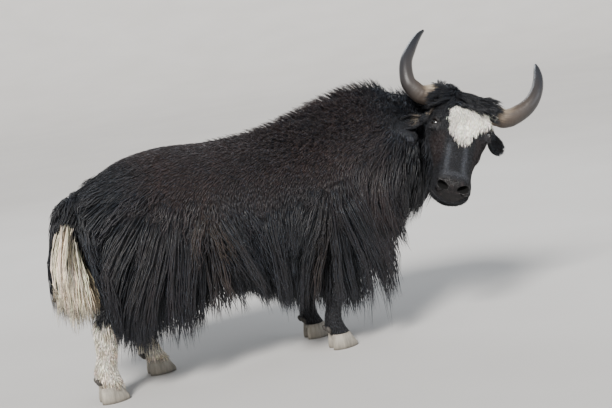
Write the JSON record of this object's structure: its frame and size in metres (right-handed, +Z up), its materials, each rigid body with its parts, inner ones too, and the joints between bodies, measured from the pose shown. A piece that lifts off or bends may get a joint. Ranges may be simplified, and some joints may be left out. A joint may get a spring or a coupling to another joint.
{
  "type": "yak model",
  "caption": "Life-size standing yak with a black coat, a white blaze, tail and hind feet, a long skirt of hair and upcurved horns, its head turned to its right.",
  "frame": {"origin": "middle of the model's box in plan, at the level of the soles", "axes": "+X the way the body faces, +Y its left side, +Z up"},
  "size_m": [2.8982, 1.0418, 1.6655],
  "materials": {
    "coat_black": "long, coarse hair, black with a brown tint on the back",
    "coat_white": "long, coarse hair, cream white with tan stains",
    "horn": "smooth grey horn, paler and ringed towards the root",
    "hoof": "dull, worn horn",
    "eye": "wet, dark brown"
  },
  "bodies": {
    "root": {"torso": "coat_black", "neck": "coat_black", "head": "coat_black", "ear_left": "coat_black", "ear_right": "coat_black", "tail": "coat_white", "leg_front_left": "coat_black", "leg_front_right": "coat_black", "leg_hind_left": "coat_white", "leg_hind_right": "coat_white", "hoof_front_left": "hoof", "hoof_front_right": "hoof", "hoof_hind_left": "hoof", "hoof_hind_right": "hoof", "horn_left": "horn", "horn_right": "horn", "eye_left": "eye", "eye_right": "eye"}
  },
  "joints": []
}
